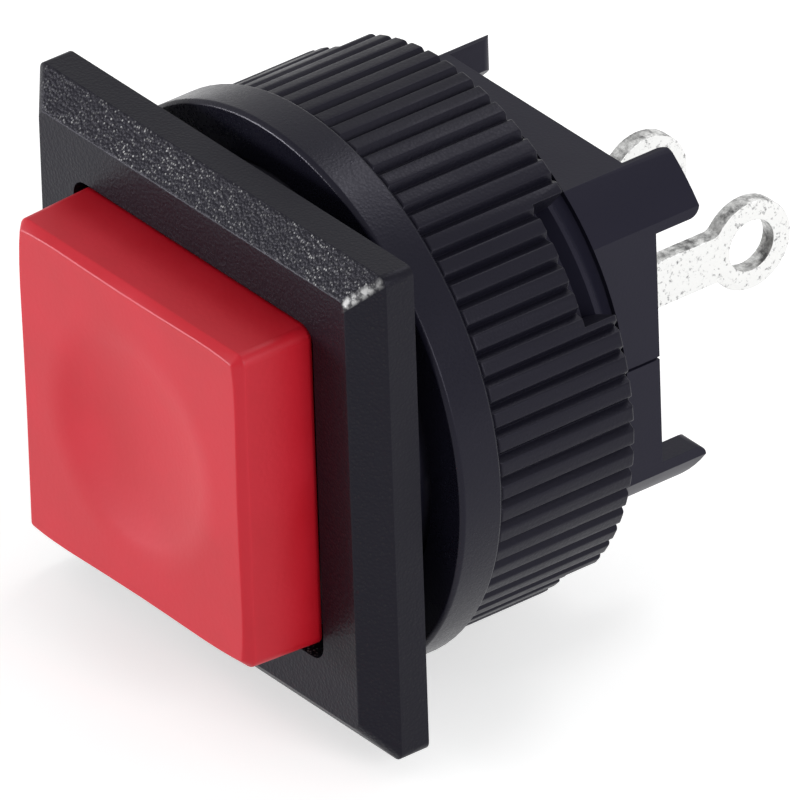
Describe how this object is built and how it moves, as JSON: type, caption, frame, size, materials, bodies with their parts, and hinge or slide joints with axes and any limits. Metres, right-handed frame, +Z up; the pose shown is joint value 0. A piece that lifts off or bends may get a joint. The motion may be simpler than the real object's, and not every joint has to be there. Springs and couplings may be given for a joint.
{
  "type": "panel pushbutton switch",
  "caption": "Black panel-mount pushbutton switch with a square bezel, a dished red cap, a knurled ring nut and soldering lugs.",
  "frame": {"origin": "centre of the bezel's rear face, which seats on the panel", "axes": "+Y along the barrel, from the button to the terminals; +Z up; +X to the right when the button is faced"},
  "size_m": [0.0195, 0.0246, 0.0194],
  "materials": {
    "black_plastic": "moulded, satin",
    "black_ring": "moulded, smooth satin",
    "black_nut": "moulded, knurled",
    "red_plastic": "satin",
    "tinned_brass": "tinned, slightly pitted",
    "spring_steel": "drawn wire",
    "contact_silver": "smooth",
    "bridge_brass": "stamped",
    "white_plastic": "moulded",
    "brown_plastic": "pressed board"
  },
  "bodies": {
    "housing": {"housing": "black_plastic", "base": "brown_plastic", "terminal_left": "tinned_brass", "terminal_right": "tinned_brass", "fixed_contact_left": "contact_silver", "fixed_contact_right": "contact_silver", "return_spring": "spring_steel"},
    "button": {"button_cap": "red_plastic", "plunger": "white_plastic", "contact_spring": "spring_steel", "bridge_clip": "spring_steel"},
    "bridge": {"contact_bridge": "bridge_brass", "bridge_contact_left": "contact_silver", "bridge_contact_right": "contact_silver"},
    "washer": {"panel_washer": "black_ring"},
    "nut": {"panel_nut": "black_nut"}
  },
  "joints": [
    {"name": "press", "type": "slide", "parent": "housing", "child": "button", "axis": [0, 1, 0], "range_m": [0, 0.0012], "stiffness_N_per_m": 800, "springref_m": -0.0015, "deforming": ["return_spring", "contact_spring"]},
    {"name": "bridge_slide", "type": "slide", "parent": "housing", "child": "bridge", "axis": [0, 1, 0], "range_m": [0, 0.00072]},
    {"name": "washer_slide", "type": "slide", "parent": "housing", "child": "washer", "axis": [0, 1, 0], "range_m": [-0.001, 0.0055]},
    {"name": "nut_turn", "type": "hinge", "parent": "washer", "child": "nut", "pos_m": [0, 0.00555, 0], "axis": [0, 1, 0], "range_deg": [-360, 1980]}
  ],
  "couplings": [
    {"joint": "bridge_slide", "follows": "press", "ratio": 0.6},
    {"joint": "washer_slide", "follows": "nut_turn", "m_per_rad": 0.00015915}
  ]
}
